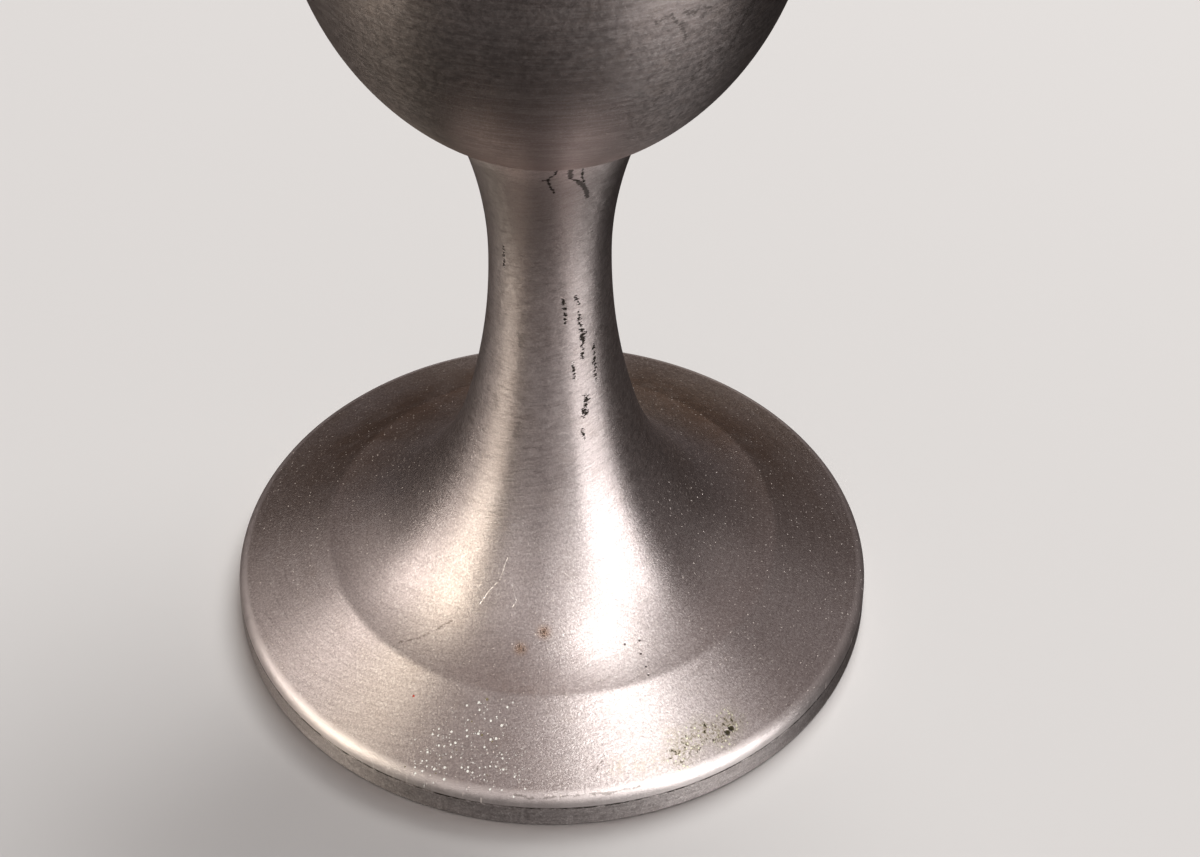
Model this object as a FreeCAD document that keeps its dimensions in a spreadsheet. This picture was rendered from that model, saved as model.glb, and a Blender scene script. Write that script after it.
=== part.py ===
"""Communion chalice in spun pewter, in millimetres.

The origin is the centre of the face it stands on, and +Z is its axis of revolution.

A stem and foot, spun as one trumpet from one sheet, stand on a soldered rim hoop. The cup's
round bottom rests in the stem's mouth, which is dressed to the same sphere. A threaded stud,
screwed into a boss under the cup, runs down the hollow stem and is drawn tight by a nut, a
spring washer and a coned washer that bears on the inside of the flare, so the cup can be taken
off and refinished.
"""
import FreeCAD, Part
import math
import os
import Sketcher

# Driving dimensions: name, value in millimetres, and what it measures.
DIMENSIONS = (
    ("wall", 1.3, "sheet thickness of cup, stem and foot"),
    # foot
    ("foot_radius", 50.0, "outside radius of the foot"),
    ("seam_height", 3.9, "joint between the hoop and the foot sheet"),
    ("seam_chamfer", 0.25, "broken edge of the hoop at that joint"),
    ("edge_height", 4.7, "where the upright edge starts to round over"),
    ("shoulder_radius", 48.85, "where the rounded edge runs into the outer ring"),
    ("shoulder_height", 6.38, "height of that point"),
    ("crease_radius", 35.5, "crease between the outer ring and the flare"),
    ("crease_height", 12.8, "height of that crease"),
    # stem
    ("flare_radius", 23.8, "station low on the flare"),
    ("flare_height", 19.2, "height of that station"),
    ("shank_radius", 13.5, "station where the flare becomes the stem"),
    ("shank_height", 38.0, "height of that station"),
    ("waist_radius", 9.0, "narrowest point of the stem"),
    ("waist_height", 70.8, "height of the narrowest point"),
    ("mouth_radius", 14.4, "outside radius of the stem's mouth"),
    ("mouth_height", 98.1, "height of the stem's mouth"),
    # cup
    ("cup_flat", 6.0, "radius of the flat at the cup's bottom"),
    ("bottom_arc", 30.15, "radius of the cup's round bottom"),
    ("belly_radius", 35.6, "outside radius where the side is upright"),
    ("belly_height", 42.75, "height of that point above the cup's flat"),
    ("lip_radius", 37.0, "outside radius of the sheet at the lip"),
    ("cup_depth", 75.0, "height of the sheet from the cup's flat to the lip"),
    ("lip_bead", 0.95, "radius of the rolled bead along the lip"),
    # hoop under the foot
    ("hoop_thickness", 2.4, "radial thickness of the rim hoop"),
    ("hoop_rounding", 0.4, "rounding of the hoop's lower edges"),
    # M6 fastening
    ("thread_radius", 3.0, "nominal radius of the thread"),
    ("thread_play", 0.05, "radial gap between the stud and the tapped holes"),
    ("boss_radius", 5.8, "radius of the boss under the cup"),
    ("boss_length", 9.0, "length of the boss"),
    ("boss_hole", 7.0, "depth of the boss's tapped hole"),
    ("boss_chamfer", 0.8, "chamfer round the boss's lower end"),
    ("stud_gap", 0.5, "gap above the stud in the boss's hole"),
    ("stud_end", 3.0, "stud showing below the nut"),
    ("stud_chamfer", 0.6, "chamfer at both ends of the stud"),
    ("clamp_height", 26.35, "height of the coned washer's underside, where its cone meets the flare"),
    ("clamp_thickness", 4.0, "thickness of the coned washer"),
    ("clamp_low_radius", 16.9, "radius of its underside"),
    ("clamp_high_radius", 14.9, "radius of its upper side"),
    ("clamp_bore", 3.3, "radius of its clearance hole"),
    ("spring_radius", 5.9, "outside radius of the spring washer"),
    ("spring_bore", 3.1, "inside radius of the spring washer"),
    ("spring_thickness", 1.6, "thickness of the spring washer"),
    ("spring_slit", 1.2, "width of its slit"),
    ("nut_flats_half", 5.0, "half the nut's width across its flats"),
    ("nut_corner_reach", 0.75, "how far its corners stand out past the flats"),
    ("nut_corner", 0.45, "height of its turned corners"),
    ("nut_length", 5.0, "thickness of the nut"),
)
SIZE = {name: value for name, value, _ in DIMENSIONS}

# Where a sketch's own numbering puts its origin, its axes and the points of an edge.
ORIGIN, START, END, CENTRE = -1, 1, 2, 3
RADIUS_AXIS, TURNING_AXIS = -1, -2
UP = FreeCAD.Vector(0, 0, 1)
FULL_TURN = 360
NUT_SIDES = 6
QUARTER_TURN = 90
FIRST_REACH = 1.5  # first guess of an arc's radius, in lengths of its chord
SAME = 1e-6

doc = FreeCAD.newDocument("Chalice")


def make_sheet():
    """The spreadsheet that every sketch, feature and placement is bound to."""
    sheet = doc.addObject("Spreadsheet::Sheet", "Sizes")
    for row, (name, value, meaning) in enumerate(DIMENSIONS, start=1):
        sheet.set(f"A{row}", meaning)
        sheet.set(f"B{row}", str(value))
        sheet.setAlias(f"B{row}", name)
    doc.recompute()


def number(total):
    """The value of a sum of dimensions, such as "foot_radius - wall"."""
    value, sign = 0.0, 1
    for word in total.split():
        if word in ("+", "-"):
            sign = 1 if word == "+" else -1
        else:
            value += sign * (SIZE[word] if word in SIZE else float(word))
    return value


def bound(total):
    """The same sum, or any formula with spaces round its names, as a spreadsheet expression."""
    return " ".join("Sizes." + word if word in SIZE else word for word in total.split())


def point(radius, height):
    return FreeCAD.Vector(number(radius), number(height), 0)


def new_body(name):
    body = doc.addObject("PartDesign::Body", name)
    body.Label = name
    return body


def origin_part(body, role):
    """One of the body's own origin planes or axes."""
    return next(item for item in body.Origin.OriginFeatures if item.Role == role)


def new_sketch(body):
    """A sketch on the body's own upright plane."""
    sketch = body.newObject("Sketcher::SketchObject", "Section")
    sketch.AttachmentSupport = [(origin_part(body, "XZ_Plane"), "")]
    sketch.MapMode = "FlatFace"
    return sketch


def new_loose_sketch(name):
    """A sketch on the upright plane, outside any body, for an open outline."""
    sketch = doc.addObject("Sketcher::SketchObject", name)
    sketch.Placement.Rotation = FreeCAD.Rotation(FreeCAD.Vector(1, 0, 0), QUARTER_TURN)
    return sketch


class Outline:
    """A half section drawn from edge to edge: x is the radius and y is the height."""

    def __init__(self, sketch, radius, height):
        self.sketch = sketch
        self.corner = (radius, height)
        self.here = point(radius, height)
        self.first = self.last = None

    def constrain(self, *terms):
        return self.sketch.addConstraint(Sketcher.Constraint(*terms))

    def drive(self, kind, *terms):
        """A dimension bound to the spreadsheet; its size is the last term."""
        *places, total = terms
        index = self.constrain(kind, *places, number(total))
        self.sketch.setExpression(f"Constraints[{index}]", bound(total))

    def place(self, end, radius, height):
        """Fixes the radius and height of an end; None leaves one to the curves that meet there."""
        for kind, total, axis in (("DistanceX", radius, TURNING_AXIS), ("DistanceY", height, RADIUS_AXIS)):
            if total == "0":
                self.constrain("PointOnObject", *end, axis)
            elif total is not None:
                self.drive(kind, ORIGIN, START, *end, total)

    def add(self, shape, target, backwards, tangent):
        """Adds an edge, joins it to the last one, and returns its number and its far end."""
        edge = self.sketch.addGeometry(shape, False)
        near, far = ((edge, END), (edge, START)) if backwards else ((edge, START), (edge, END))
        if self.last:
            self.constrain("Tangent" if tangent else "Coincident", *self.last, *near)
        else:
            self.first = near
            self.place(near, *self.corner)
        self.last = far
        self.here = target
        return edge, far

    def line(self, radius, height):
        target = point(radius, height)
        _, far = self.add(Part.LineSegment(self.here, target), target, False, False)
        self.place(far, radius, height)

    def arc(self, turn, radius=None, height=None, guess=None, tangent=True):
        """A round edge, with turn 1 for anticlockwise and -1 for clockwise.

        An end that only the neighbouring curves fix is given as a guess.
        """
        target = guess or point(radius, height)
        chord = target - self.here
        reach = FIRST_REACH * chord.Length
        inward = FreeCAD.Vector(-chord.y, chord.x, 0).normalize() * turn
        centre = (self.here + target) / 2 + inward * math.sqrt(reach**2 - chord.Length**2 / 4)
        angles = [math.atan2(end.y - centre.y, end.x - centre.x) for end in (self.here, target)]
        circle = Part.Circle(centre, UP, reach)
        shape = Part.ArcOfCircle(circle, *angles[::turn])
        edge, far = self.add(shape, target, turn < 0, tangent)
        self.place(far, radius, height)
        return edge

    def upright(self, edge):
        """Makes the last arc end upright, level with its own centre."""
        self.constrain("Horizontal", edge, CENTRE, *self.last)

    def close(self):
        """The straight edge back to the first corner."""
        target = point(*self.corner)
        self.add(Part.LineSegment(self.here, target), target, False, False)
        self.constrain("Coincident", *self.last, *self.first)


def turned_section(body, *corners):
    """Turns a closed section with straight edges about the body's axis."""
    outline = Outline(new_sketch(body), *corners[0])
    for corner in corners[1:]:
        outline.line(*corner)
    outline.close()
    turned = body.newObject("PartDesign::Revolution", "Turned")
    turned.Profile = outline.sketch
    turned.ReferenceAxis = (outline.sketch, ["V_Axis"])
    turned.Angle = FULL_TURN
    doc.recompute()
    return turned


def spun_sheet(name, outline):
    """Gives an open outline the sheet's thickness, on its inner side, and spins it into a shell."""
    section = doc.addObject("Part::Offset2D", name + "_section")
    section.Source = outline.sketch
    section.Mode = "Skin"
    section.Join = "Intersection"
    section.Fill = True
    section.setExpression("Value", bound("wall"))
    shell = doc.addObject("Part::Revolution", name + "_shell")
    shell.Source = section
    shell.Axis = UP
    shell.Angle = FULL_TURN
    return shell


def circles_at(shape, height, radius=None):
    """Names of a turned piece's level edges at a height, of any radius or of the one given."""
    return [
        f"Edge{index}"
        for index, edge in enumerate(shape.Edges, start=1)
        if isinstance(edge.Curve, Part.Circle)
        and abs(edge.Curve.Center.z - height) < SAME
        and (radius is None or abs(edge.Curve.Radius - radius) < SAME)
    ]


def dress(body, kind, base, edges, size):
    """A PartDesign Fillet or Chamfer of the named edges."""
    feature = body.newObject(f"PartDesign::{kind}", f"{kind}{len(body.Group)}")
    feature.Base = (base, edges)
    feature.setExpression("Radius" if kind == "Fillet" else "Size", bound(size))
    doc.recompute()
    return feature


def raised(part, formula):
    """The part, set at its own height."""
    part.setExpression("Placement.Base.z", bound(formula))
    return part


# The middle of the sphere that the cup's round bottom and the seat in the stem's mouth share,
# and the height of the cup's flat.
SPHERE_HEIGHT = "mouth_height + sqrt( bottom_arc ^ 2 - mouth_radius ^ 2 )"
CUP_HEIGHT = SPHERE_HEIGHT + " - sqrt( bottom_arc ^ 2 - cup_flat ^ 2 )"


def make_stem_and_foot():
    """One sheet, spun from the foot's edge up to the mouth that is dressed to the cup's bottom."""
    outline = Outline(new_loose_sketch("Trumpet"), "foot_radius", "seam_height")
    outline.line("foot_radius", "edge_height")
    outline.arc(1, "shoulder_radius", "shoulder_height")
    outline.arc(-1, "crease_radius", "crease_height")
    outline.arc(-1, "flare_radius", "flare_height", tangent=False)
    outline.arc(-1, "shank_radius", "shank_height")
    shank = outline.arc(-1, "waist_radius", "waist_height")
    outline.upright(shank)
    outline.arc(-1, "mouth_radius", "mouth_height")
    seat = doc.addObject("Part::Sphere", "seat")
    seat.setExpression("Radius", bound("bottom_arc"))
    seat.setExpression("Placement.Base.z", bound(SPHERE_HEIGHT))
    stem = doc.addObject("Part::Cut", "stem_and_foot")
    stem.Base = spun_sheet("stem", outline)
    stem.Tool = seat
    return stem


def make_foot_rim_ring():
    """The upright hoop soldered under the foot's edge."""
    body = new_body("foot_rim_ring")
    hoop = turned_section(
        body,
        ("foot_radius", "0"),
        ("foot_radius", "seam_height"),
        ("foot_radius - hoop_thickness", "seam_height"),
        ("foot_radius - hoop_thickness", "0"),
    )
    rounded = dress(body, "Fillet", hoop, circles_at(hoop.Shape, 0), "hoop_rounding")
    seam = circles_at(rounded.Shape, SIZE["seam_height"], SIZE["foot_radius"])
    dress(body, "Chamfer", rounded, seam, "seam_chamfer")
    return body


def make_cup():
    """The spun cup: round bottom, fuller belly, and a side that opens slightly to a rolled lip."""
    outline = Outline(new_loose_sketch("Bowl"), "0", "0")
    outline.line("cup_flat", "0")
    half_way = FreeCAD.Vector(SIZE["belly_radius"], SIZE["belly_height"] / 2, 0) * math.sqrt(0.5)
    bottom = outline.arc(1, guess=half_way, tangent=False)
    outline.constrain("PointOnObject", bottom, CENTRE, TURNING_AXIS)
    outline.drive("Radius", bottom, "bottom_arc")
    belly = outline.arc(1, "belly_radius", "belly_height")
    outline.upright(belly)
    outline.arc(-1, "lip_radius", "cup_depth")
    bead = doc.addObject("Part::Torus", "lip_bead")
    bead.setExpression("Radius1", bound("lip_radius - wall / 2"))
    bead.setExpression("Radius2", bound("lip_bead"))
    bead.setExpression("Placement.Base.z", bound("cup_depth"))
    cup = doc.addObject("Part::Fuse", "cup")
    cup.Base = spun_sheet("bowl", outline)
    cup.Tool = bead
    return raised(cup, CUP_HEIGHT)


def make_cup_boss():
    """The boss fixed under the cup's flat, tapped from below."""
    body = new_body("cup_boss")
    turned_section(
        body,
        ("boss_radius", "boss_chamfer"),
        ("boss_radius", "boss_length"),
        ("0", "boss_length"),
        ("0", "boss_hole"),
        ("thread_radius + thread_play", "boss_hole"),
        ("thread_radius + thread_play", "0"),
        ("boss_radius - boss_chamfer", "0"),
    )
    return raised(body, f"{CUP_HEIGHT} - boss_length")


def make_tie_stud():
    """The rod from the boss down to just below the nut."""
    body = new_body("tie_stud")
    rod = body.newObject("PartDesign::AdditiveCylinder", "Rod")
    rod.setExpression("Radius", bound("thread_radius"))
    foot = "( clamp_height - spring_thickness - nut_length - stud_end )"
    head = f"{CUP_HEIGHT} - boss_length + boss_hole - stud_gap"
    rod.setExpression("Height", bound(f"{head} - {foot}"))
    doc.recompute()
    ends = circles_at(rod.Shape, 0) + circles_at(rod.Shape, rod.Height.Value)
    dress(body, "Chamfer", rod, ends, "stud_chamfer")
    return raised(body, foot)


def make_clamp_washer():
    """The heavy washer whose coned edge bears on the inside of the flare."""
    body = new_body("clamp_washer")
    turned_section(
        body,
        ("clamp_low_radius", "0"),
        ("clamp_high_radius", "clamp_thickness"),
        ("clamp_bore", "clamp_thickness"),
        ("clamp_bore", "0"),
    )
    return raised(body, "clamp_height")


def make_lock_washer():
    """The split spring washer, drawn flat as it is under load."""
    body = new_body("lock_washer")
    turned_section(
        body,
        ("spring_radius", "0"),
        ("spring_radius", "spring_thickness"),
        ("spring_bore", "spring_thickness"),
        ("spring_bore", "0"),
    )
    slit = body.newObject("PartDesign::SubtractiveBox", "Slit")
    slit.setExpression("Length", bound("spring_radius"))
    slit.setExpression("Width", bound("spring_slit"))
    slit.setExpression("Height", bound("spring_thickness"))
    slit.setExpression("Placement.Base.y", bound("spring_slit / -2"))
    return raised(body, "clamp_height - spring_thickness")


def make_clamp_nut():
    """The hexagon nut: a blank with turned corners, then six flats."""
    body = new_body("clamp_nut")
    corner_radius = "nut_flats_half + nut_corner_reach"
    turned_section(
        body,
        ("nut_flats_half", "0"),
        (corner_radius, "nut_corner"),
        (corner_radius, "nut_length - nut_corner"),
        ("nut_flats_half", "nut_length"),
        ("thread_radius + thread_play", "nut_length"),
        ("thread_radius + thread_play", "0"),
    )
    flat = body.newObject("PartDesign::SubtractiveBox", "Flat")
    flat.setExpression("Length", bound("nut_flats_half"))
    flat.setExpression("Width", bound("nut_flats_half * 2"))
    flat.setExpression("Height", bound("nut_length"))
    flat.setExpression("Placement.Base.x", bound("nut_flats_half"))
    flat.setExpression("Placement.Base.y", bound("- nut_flats_half"))
    doc.recompute()
    flats = body.newObject("PartDesign::PolarPattern", "Flats")
    flats.Originals = [flat]
    flats.Axis = (origin_part(body, "Z_Axis"), [""])
    flats.Angle = FULL_TURN
    flats.Occurrences = NUT_SIDES
    body.Tip = flats
    return raised(body, "clamp_height - spring_thickness - nut_length")


def check_state():
    """Stops the build if the document has a failed object."""
    failed = [item.Name for item in doc.Objects if {"Invalid", "Error"} & set(item.State)]
    if failed:
        raise SystemExit(f"failed objects: {failed}")


def export_parts(parts):
    """Writes each part to its own STEP file."""
    for part in parts:
        if part.Shape.isNull() or not part.Shape.isValid() or len(part.Shape.Solids) != 1:
            raise SystemExit(f"{part.Label} is not one valid solid")
    os.makedirs("parts", exist_ok=True)
    for part in parts:
        box = part.Shape.optimalBoundingBox(False, False)
        print(f"{part.Label:15} {part.Shape.Volume:9.1f} mm3  z {box.ZMin:7.2f} to {box.ZMax:7.2f}")
        part.Shape.exportStep(f"parts/{part.Label}.step")


make_sheet()
chalice = [
    make_stem_and_foot(),
    make_foot_rim_ring(),
    make_cup(),
    make_cup_boss(),
    make_tie_stud(),
    make_clamp_washer(),
    make_lock_washer(),
    make_clamp_nut(),
]
doc.recompute()
check_state()
export_parts(chalice)
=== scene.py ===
"""Looks of the communion chalice: aged satin pewter, spun and brushed round its axis.

Sections are drawn in millimetres, as (radius, height), and spun about +Z into pieces in metres.
Azimuths are in degrees from the camera's side, positive to its right.
"""

import math

import bpy
import numpy as np
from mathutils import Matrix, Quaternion, Vector, noise


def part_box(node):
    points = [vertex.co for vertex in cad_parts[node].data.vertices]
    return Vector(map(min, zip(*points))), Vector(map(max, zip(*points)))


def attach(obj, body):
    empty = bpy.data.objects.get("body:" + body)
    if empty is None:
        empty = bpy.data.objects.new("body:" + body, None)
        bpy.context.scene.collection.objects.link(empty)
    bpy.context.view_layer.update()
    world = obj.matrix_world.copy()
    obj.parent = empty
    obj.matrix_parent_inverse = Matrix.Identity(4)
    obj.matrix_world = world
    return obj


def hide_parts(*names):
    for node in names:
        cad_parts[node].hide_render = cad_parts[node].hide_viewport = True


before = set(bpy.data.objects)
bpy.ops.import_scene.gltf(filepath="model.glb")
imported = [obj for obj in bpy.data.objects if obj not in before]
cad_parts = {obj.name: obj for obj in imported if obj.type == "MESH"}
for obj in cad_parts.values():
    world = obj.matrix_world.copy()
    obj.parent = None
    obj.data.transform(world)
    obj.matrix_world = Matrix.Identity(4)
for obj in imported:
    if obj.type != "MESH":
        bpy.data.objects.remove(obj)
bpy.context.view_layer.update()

MM = 0.001
BODY = "root"

# ---------------------------------------------------------------- sizes, in millimetres
stem_low, stem_high = (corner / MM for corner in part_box("stem_and_foot"))
cup_low, cup_high = (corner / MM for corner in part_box("cup"))
stud_low, stud_high = (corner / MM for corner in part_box("tie_stud"))

WALL = 1.3
FOOT_RADIUS, SEAM_HEIGHT = stem_high.x, stem_low.z

# Points that the outside of the stem and foot passes through, from the foot's edge up.
EDGE = (FOOT_RADIUS, SEAM_HEIGHT + 0.8)
SHOULDER = (48.85, 6.38)
CREASE = (35.5, 12.8)
FLARE = (23.8, 19.2)
SHANK = (13.5, 38.0)
WAIST = (9.0, 70.8)
MOUTH = (14.4, stem_high.z)
SEAT_SHARE = 0.9  # how much of the wall's thickness the dressed seat under the cup takes

# The cup: radii of its flat and its round bottom, where its side is upright, its bead and lip.
CUP_FLAT, BOTTOM_ARC = 6.0, 30.15
BELLY = (35.6, cup_low.z + 42.75)
LIP_BEAD = 0.95
LIP = (cup_high.x - LIP_BEAD + WALL / 2, cup_high.z - LIP_BEAD)

HOOP_THICKNESS = 2.4
SOLDER_SIZE = (0.55, 0.45)  # half its width and half its height
SOLDER_OFFSET = (0.1, 0.15)  # out from the hoop's inside, and up from the seam
STUD_CHAMFER = 0.6
THREAD_PITCH, THREAD_DEPTH = 1.0, 0.61
THREAD_CREST, THREAD_FLANK = 0.125, 0.6  # as shares of half a pitch

# How far along each side the corners are rounded.
CREASE_REACH, SHEET_REACH, SEAM_REACH, FLAT_REACH = 0.5, 0.12, 0.1, 0.4
HOOP_REACHES = (0.25, 0.15, 0.4, 0.4)  # outside above, inside above, inside below, outside below

# How finely the sections are drawn.
OUTSIDE_STEP, EDGE_STEP, INSIDE_STEP = 1.0, 0.3, 2.6
MOST_TURN = math.radians(10)
CORNER_POINTS, BEAD_POINTS, SOLDER_POINTS = 4, 20, 12
SEGMENTS, STUD_SEGMENTS, ROWS_PER_TURN = 480, 48, 10
SUPPORT = 0.12  # a ring this close to each rounded corner keeps its neighbours smooth


# ---------------------------------------------------------------- sections
def turned(vector, angle):
    cos, sin = math.cos(angle), math.sin(angle)
    return np.array([vector[0] * cos - vector[1] * sin, vector[0] * sin + vector[1] * cos])


def arc(start, heading, end, step=OUTSIDE_STEP):
    """The round stretch that leaves start along heading and ends at end, with its heading there."""
    start, end = np.array(start, float), np.array(end, float)
    chord = end - start
    left = np.array([-heading[1], heading[0]])
    radius = chord @ chord / (2 * chord @ left)
    turn = 2 * math.atan2(chord @ left, chord @ heading)
    count = max(2, math.ceil(abs(turn * radius) / step), math.ceil(abs(turn) / MOST_TURN))
    centre = start + left * radius
    points = [centre + turned(start - centre, turn * k / count) for k in range(count + 1)]
    return np.array(points), turned(heading, turn)


def along(line):
    """Distance along a line of points, from its first."""
    return np.concatenate([[0], np.cumsum(np.linalg.norm(np.diff(line, axis=0), axis=1))])


def trimmed(line, start, end):
    """The line with a length cut off each end, and a support point just inside each cut."""
    run = along(line)
    total = run[-1]
    stops = [start, total - end]
    stops += [start + SUPPORT] if start else []
    stops += [total - end - SUPPORT] if end else []
    inner = [s for s in run if start + 2 * SUPPORT < s < total - end - 2 * SUPPORT]
    stops = sorted(stops + inner)
    return np.stack([np.interp(stops, run, line[:, k]) for k in (0, 1)], axis=1)


def rounded(lines, reaches, closed=False):
    """Joins lines end to end, rounding the corner after each over its reach."""
    count = len(lines)
    joined = []
    for k, line in enumerate(lines):
        before = reaches[k - 1] if (closed or k) else 0
        after = reaches[k] if (closed or k < count - 1) else 0
        cut = trimmed(np.array(line, float), before, after)
        if joined and not before:
            cut = cut[1:]
        joined.append(cut)
        if after:
            corner = np.array(line[-1], float)
            following = trimmed(np.array(lines[(k + 1) % count], float), after, 0)[0]
            share = np.linspace(0, 1, CORNER_POINTS + 2)[1:-1, None]
            joined.append(
                (1 - share) ** 2 * cut[-1] + 2 * share * (1 - share) * corner + share**2 * following
            )
    return np.vstack(joined)


def inset(line, distance):
    """The line moved to its left, which is the inner side of a section drawn upwards."""
    run = along(line)
    slope = np.gradient(line, run, axis=0)
    slope /= np.linalg.norm(slope, axis=1)[:, None]
    return line + np.stack([-slope[:, 1], slope[:, 0]], axis=1) * distance


def thinned(line, step):
    """Fewer points along a line, for the side that is seen less."""
    run = along(line)
    stops = np.linspace(0, run[-1], max(2, math.ceil(run[-1] / step)))
    return np.stack([np.interp(stops, run, line[:, k]) for k in (0, 1)], axis=1)


UPWARDS, DOWNWARDS = (0.0, 1.0), (0.0, -1.0)


def trumpet():
    """Its outside in two lines: the foot's edge to the crease, and the crease up to the mouth."""
    edge_up, heading = arc(EDGE, UPWARDS, SHOULDER, EDGE_STEP)
    ring, _ = arc(SHOULDER, heading, CREASE)
    outer = np.vstack([[[FOOT_RADIUS, SEAM_HEIGHT]], edge_up, ring[1:]])
    shank, heading = arc(WAIST, DOWNWARDS, SHANK)
    flare, heading = arc(SHANK, heading, FLARE)
    inner_flare, _ = arc(FLARE, heading, CREASE)
    neck, _ = arc(WAIST, UPWARDS, MOUTH)
    upper = np.vstack([inner_flare[::-1], flare[::-1][1:], shank[::-1][1:], neck[1:]])
    return outer, upper


def bowl():
    """Outside of the cup, from its axis up to the lip: flat, round bottom, belly and side."""
    centre = cup_low.z + math.sqrt(BOTTOM_ARC**2 - CUP_FLAT**2)
    rise = BELLY[1] - centre
    belly_arc = (BELLY[0] ** 2 + rise**2 - BOTTOM_ARC**2) / (2 * (BELLY[0] - BOTTOM_ARC))
    belly_centre = np.array([BELLY[0] - belly_arc, BELLY[1]])
    outwards = np.array([0, centre]) - belly_centre
    meeting = belly_centre + outwards / np.linalg.norm(outwards) * belly_arc
    flat_end = (CUP_FLAT, cup_low.z)
    tangent = np.array([centre - cup_low.z, CUP_FLAT]) / BOTTOM_ARC
    bottom, heading = arc(flat_end, tangent, meeting)
    belly, _ = arc(meeting, heading, BELLY)
    side, _ = arc(BELLY, UPWARDS, LIP)
    flat = np.array([[0.0, cup_low.z], [CUP_FLAT / 2, cup_low.z], flat_end])
    return flat, np.vstack([bottom, belly[1:], side[1:]])


# ---------------------------------------------------------------- meshes
RIPPLE, RIPPLE_SIZE = 0.035, 14.0  # how far, and over what length, hand work has left the metal uneven


def uneven(points):
    """Moves surface points in and out by a few hundredths, as on a hand-spun piece."""
    moved = points.copy()
    for k, place in enumerate(points):
        spoke = Vector((place[0], place[1], 0.0))
        if spoke.length > SUPPORT:
            out = np.array(spoke.normalized().xy)
            moved[k, :2] += out * RIPPLE * noise.noise(Vector(place) / RIPPLE_SIZE)
    return moved


def piece(name, points, faces, replaced=None, runs=None):
    """A smooth mesh from points in millimetres, riding on the chalice.

    Runs are each point's distance along the section, in metres, which the brushing follows.
    """
    mesh = bpy.data.meshes.new(name)
    mesh.from_pydata((np.asarray(points) * MM).tolist(), [], faces)
    mesh.validate()
    mesh.shade_smooth()
    if runs:
        attribute = mesh.attributes.new("run", "FLOAT", "POINT")
        attribute.data.foreach_set("value", np.asarray(runs, np.float32))
    obj = bpy.data.objects.new(name, mesh)
    bpy.context.scene.collection.objects.link(obj)
    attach(obj, BODY)
    if replaced:
        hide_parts(replaced)
    return obj


def spun(name, section, replaced, closed=True, segments=SEGMENTS):
    """Spins a section about +Z. An open section starts and ends on the axis."""
    angles = np.arange(segments) * 2 * math.pi / segments
    run = along(section)
    points, faces, runs, rows = [], [], [], []
    for k, (radius, height) in enumerate(section):
        pole = not closed and k in (0, len(section) - 1)
        start = len(points)
        ring = [(radius * math.sin(a), -radius * math.cos(a), height) for a in angles]
        points += [(0.0, 0.0, height)] if pole else ring
        rows.append([start] * segments if pole else list(range(start, start + segments)))
        runs += [run[k] * MM] * (1 if pole else segments)
    pairs = list(zip(rows, rows[1:])) + ([(rows[-1], rows[0])] if closed else [])
    for low, high in pairs:
        for j in range(segments):
            corners = [low[j], low[(j + 1) % segments], high[(j + 1) % segments], high[j]]
            faces.append(list(dict.fromkeys(corners)))
    return piece(name, uneven(np.array(points)), faces, replaced, runs)


def stem_and_foot_shell():
    """The trumpet: outside up to the mouth, the dressed seat, and back down the inside."""
    outer, upper = trumpet()
    outside = rounded([outer, upper], [CREASE_REACH])
    inside = thinned(inset(np.vstack([outer, upper[1:]]), WALL), INSIDE_STEP)[::-1]
    seat_centre = np.array([0.0, MOUTH[1] + math.sqrt(BOTTOM_ARC**2 - MOUTH[0] ** 2)])
    inside = inside[np.linalg.norm(inside - seat_centre, axis=1) > BOTTOM_ARC]
    seat_end = np.array([MOUTH[0] - WALL * SEAT_SHARE, 0.0])
    seat_end[1] = seat_centre[1] - math.sqrt(BOTTOM_ARC**2 - seat_end[0] ** 2)
    inside = inside[inside[:, 1] < seat_end[1] - SUPPORT]
    seat = np.array([outside[-1], seat_end])
    foot_end = np.array([FOOT_RADIUS - WALL, SEAM_HEIGHT])
    inside = np.vstack([[seat_end], inside[inside[:, 1] > SEAM_HEIGHT + SUPPORT], [foot_end]])
    rim = np.array([foot_end, [FOOT_RADIUS, SEAM_HEIGHT]])
    reaches = [SHEET_REACH, SHEET_REACH, SHEET_REACH, SEAM_REACH]
    section = rounded([outside, seat, inside, rim], reaches, closed=True)
    return spun("stem_and_foot_shell", section, "stem_and_foot")


def rim_hoop_shell():
    """The upright hoop: rounded below, and broken at the edge that meets the foot's sheet."""
    inner = FOOT_RADIUS - HOOP_THICKNESS
    face = [(FOOT_RADIUS, 0.0), (FOOT_RADIUS, SEAM_HEIGHT / 2), (FOOT_RADIUS, SEAM_HEIGHT)]
    top = [(FOOT_RADIUS, SEAM_HEIGHT), (inner, SEAM_HEIGHT)]
    back = [(inner, SEAM_HEIGHT), (inner, 0.0)]
    base = [(inner, 0.0), (FOOT_RADIUS, 0.0)]
    section = rounded([face, top, back, base], HOOP_REACHES, closed=True)
    return spun("rim_hoop_shell", section, "foot_rim_ring")


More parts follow.
